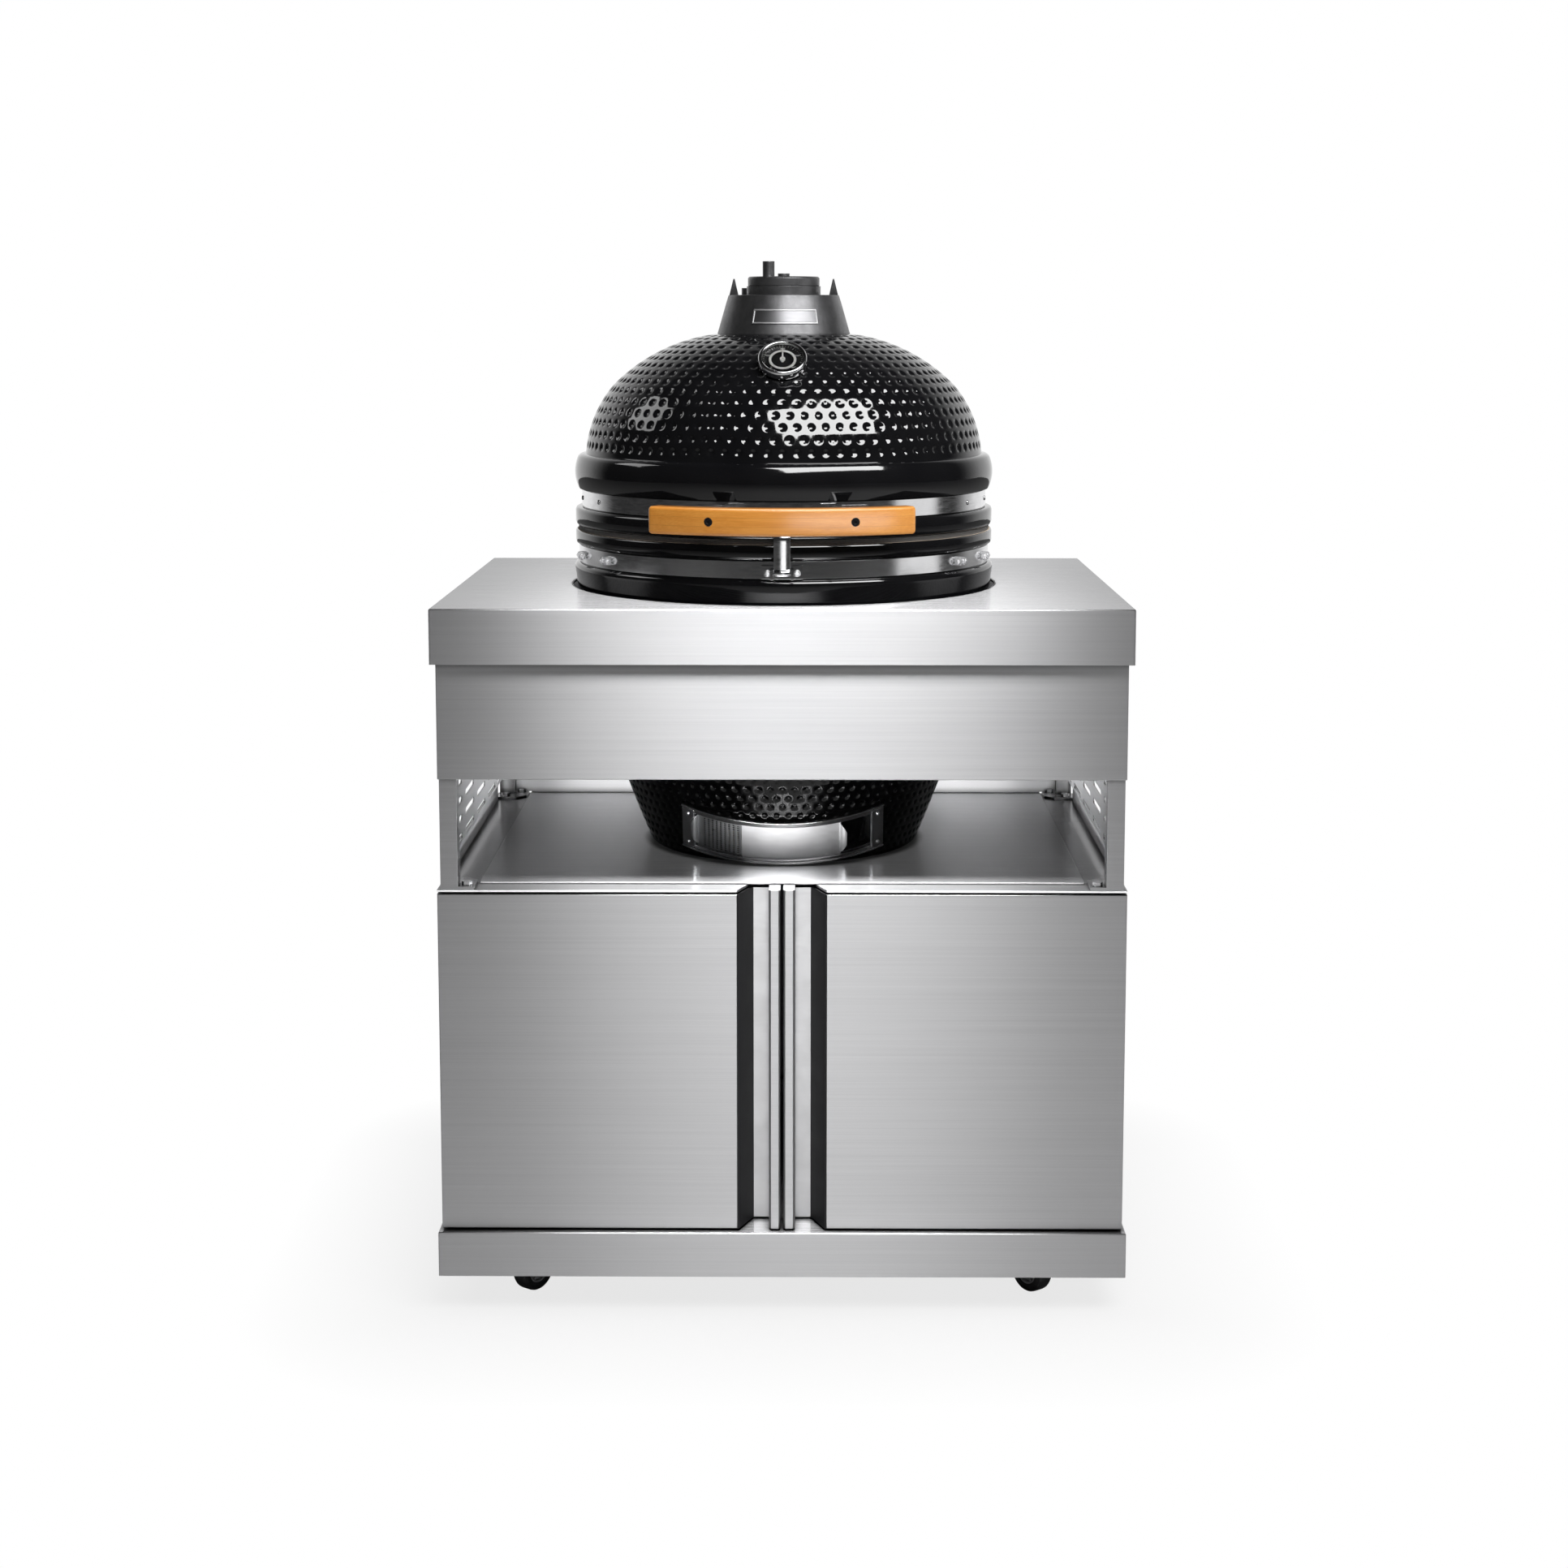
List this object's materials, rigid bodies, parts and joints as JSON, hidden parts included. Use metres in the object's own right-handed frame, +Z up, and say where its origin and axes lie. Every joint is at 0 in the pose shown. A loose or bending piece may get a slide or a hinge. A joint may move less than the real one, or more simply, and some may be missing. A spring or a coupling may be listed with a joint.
{
  "type": "kamado grill table",
  "caption": "Domed dimpled ceramic charcoal grill sunk through the worktop of a brushed steel cabinet on casters, with doors below an open bay.",
  "frame": {"origin": "centre of the footprint on the floor", "axes": "+Z up, -Y to the front where the doors and the lid handle are, +X to the right seen from the front"},
  "size_m": [0.88, 0.664, 1.3446],
  "materials": {
    "steel": "horizontally brushed stainless sheet",
    "bright_steel": "polished stainless",
    "black_trim": "satin black powder coat",
    "glaze": "gloss black glaze with a dimpled face",
    "firebrick": "unglazed refractory",
    "cast_iron": "matt sand cast",
    "bamboo": "laminated bamboo, satin lacquer",
    "felt": "pressed felt",
    "glass": "clear",
    "needle_red": "red lacquer",
    "zinc": "zinc plated pressing",
    "tyre": "hard rubber tread on a grey core"
  },
  "bodies": {
    "root": {"worktop": "steel", "cutout_trim": "black_trim", "apron": "steel", "posts": "steel", "post_bolts": "bright_steel", "vent_panel_right": "steel", "vent_panel_left": "steel", "upper_back_panel": "steel", "deck": "steel", "deck_plate": "steel", "stiffening_channels": "steel", "cabinet_side_right": "steel", "cabinet_side_left": "steel", "cabinet_back": "steel", "plinth": "steel", "caster_plates": "zinc", "ceramic_base": "glaze", "base_gasket": "felt", "base_band": "bright_steel", "base_band_nuts": "bright_steel", "draft_frame": "bright_steel", "latch_bracket": "bright_steel", "firebox": "firebrick", "fire_ring": "firebrick", "charcoal_grate": "cast_iron", "cooking_grate": "cast_iron", "hinge_base_bracket": "bright_steel", "hinge_pin": "bright_steel", "hinge_springs": "bright_steel"},
    "lid": {"ceramic_lid": "glaze", "lid_gasket": "felt", "lid_band": "bright_steel", "lid_fasteners": "bright_steel", "hinge_lid_bracket": "bright_steel", "handle_arms": "bright_steel", "handle": "bamboo", "vent_cap": "cast_iron", "thermometer_case": "bright_steel", "thermometer_glass": "glass"},
    "damper": {"damper_disc": "cast_iron"},
    "needle": {"thermometer_needle": "needle_red"},
    "latch": {"latch_arm": "bright_steel"},
    "door_left": {"door_left_panel": "steel", "door_left_recess": "black_trim", "door_left_grip": "steel", "door_left_pins": "bright_steel"},
    "door_right": {"door_right_panel": "steel", "door_right_recess": "black_trim", "door_right_grip": "steel", "door_right_pins": "bright_steel"},
    "draft_slider": {"draft_door": "bright_steel"},
    "draft_screen": {"draft_mesh": "bright_steel"},
    "fork_fl": {"caster_fork_fl": "zinc"},
    "wheel_fl": {"caster_wheel_fl": "tyre"},
    "fork_fr": {"caster_fork_fr": "zinc"},
    "wheel_fr": {"caster_wheel_fr": "tyre"},
    "fork_rl": {"caster_fork_rl": "zinc"},
    "wheel_rl": {"caster_wheel_rl": "tyre"},
    "fork_rr": {"caster_fork_rr": "zinc"},
    "wheel_rr": {"caster_wheel_rr": "tyre"}
  },
  "joints": [
    {"name": "lid_hinge", "type": "hinge", "parent": "root", "child": "lid", "pos_m": [0, 0.318, 0.9855], "axis": [-1, 0, 0], "range_deg": [0, 70]},
    {"name": "damper_turn", "type": "hinge", "parent": "lid", "child": "damper", "pos_m": [0, 0, 1.3121], "axis": [0, 0, 1], "range_deg": [0, 60]},
    {"name": "needle_turn", "type": "hinge", "parent": "lid", "child": "needle", "pos_m": [0, -0.19559, 1.2088], "axis": [0, -0.6691, 0.7431], "range_deg": [-135, 135]},
    {"name": "latch_turn", "type": "hinge", "parent": "root", "child": "latch", "pos_m": [0, -0.289, 0.951], "axis": [1, 0, 0], "range_deg": [0, 75]},
    {"name": "door_left_swing", "type": "hinge", "parent": "root", "child": "door_left", "pos_m": [-0.4235, -0.282, 0.1066], "axis": [0, 0, -1], "range_deg": [0, 90]},
    {"name": "door_right_swing", "type": "hinge", "parent": "root", "child": "door_right", "pos_m": [0.4235, -0.282, 0.1066], "axis": [0, 0, 1], "range_deg": [0, 90]},
    {"name": "draft_door_slide", "type": "hinge", "parent": "root", "child": "draft_slider", "pos_m": [0, -0.00629, 0.66629], "axis": [0, 0.3746, -0.9272], "range_deg": [-11, 17]},
    {"name": "draft_mesh_slide", "type": "hinge", "parent": "root", "child": "draft_screen", "pos_m": [0, -0.00629, 0.66629], "axis": [0, 0.3746, -0.9272], "range_deg": [-16, 0]},
    {"name": "swivel_fl", "type": "hinge", "parent": "root", "child": "fork_fl", "pos_m": [-0.34, -0.262, 0.0735], "axis": [0, 0, 1], "continuous": true},
    {"name": "roll_fl", "type": "hinge", "parent": "fork_fl", "child": "wheel_fl", "pos_m": [-0.32707, -0.2442, 0.03], "axis": [-0.809, 0.5878, 0], "continuous": true},
    {"name": "swivel_fr", "type": "hinge", "parent": "root", "child": "fork_fr", "pos_m": [0.34, -0.262, 0.0735], "axis": [0, 0, 1], "continuous": true},
    {"name": "roll_fr", "type": "hinge", "parent": "fork_fr", "child": "wheel_fr", "pos_m": [0.32707, -0.2442, 0.03], "axis": [-0.809, -0.5878, 0], "continuous": true},
    {"name": "swivel_rl", "type": "hinge", "parent": "root", "child": "fork_rl", "pos_m": [-0.34, 0.262, 0.0735], "axis": [0, 0, 1], "continuous": true},
    {"name": "roll_rl", "type": "hinge", "parent": "fork_rl", "child": "wheel_rl", "pos_m": [-0.32707, 0.2442, 0.03], "axis": [0.809, 0.5878, 0], "continuous": true},
    {"name": "swivel_rr", "type": "hinge", "parent": "root", "child": "fork_rr", "pos_m": [0.34, 0.262, 0.0735], "axis": [0, 0, 1], "continuous": true},
    {"name": "roll_rr", "type": "hinge", "parent": "fork_rr", "child": "wheel_rr", "pos_m": [0.32707, 0.2442, 0.03], "axis": [0.809, -0.5878, 0], "continuous": true}
  ]
}
